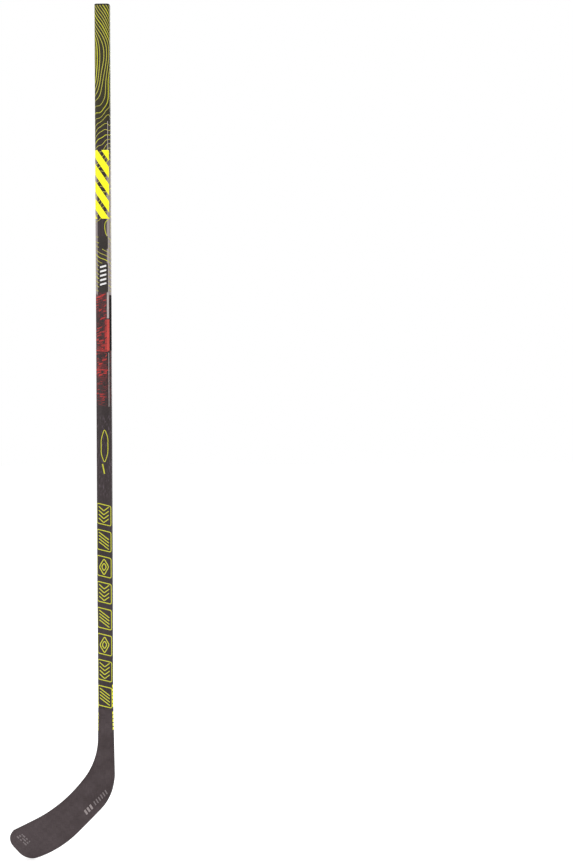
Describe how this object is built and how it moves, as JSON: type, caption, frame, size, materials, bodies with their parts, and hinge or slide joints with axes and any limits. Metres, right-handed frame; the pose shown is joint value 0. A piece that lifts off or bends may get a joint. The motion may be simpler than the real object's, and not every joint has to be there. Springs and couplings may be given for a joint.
{
  "type": "ice hockey stick",
  "caption": "Hollow composite hockey stick with a rectangular tapered shaft, pull-out end plug and curved, lofted blade bonded in by a tongue.",
  "frame": {"origin": "middle of the end plug's outer face, on the shaft's axis", "axes": "+Z out of the butt end along the shaft, -X along the blade to its toe, +Y the side that the blade curves towards"},
  "size_m": [0.2109, 0.0526, 1.6606],
  "materials": {
    "plug_plastic": "moulded, fine matte grain",
    "tube_laminate": "bare carbon laminate",
    "shaft_print": "matte clear coat over carbon weave with inked yellow, red and white graphics",
    "adhesive": "cured resin",
    "foam": "closed-cell foam",
    "tenon_laminate": "bare carbon laminate",
    "blade_laminate": "matte woven carbon",
    "rim_laminate": "matte carbon wrap, slightly lighter at the edge"
  },
  "bodies": {
    "stick": {"shaft_tube": "tube_laminate", "shaft_outer_ply": "shaft_print", "tenon_adhesive": "adhesive", "tenon_foam": "foam", "hosel_tenon": "tenon_laminate", "backhand_skin": "blade_laminate", "forehand_skin": "blade_laminate", "blade_rim": "rim_laminate", "upper_core": "foam", "lower_core": "foam", "core_bridge": "tenon_laminate"},
    "end_plug": {"end_plug": "plug_plastic"}
  },
  "joints": [
    {"name": "end_plug_pull", "type": "slide", "parent": "stick", "child": "end_plug", "axis": [0, 0, 1], "range_m": [0, 0.055]}
  ]
}
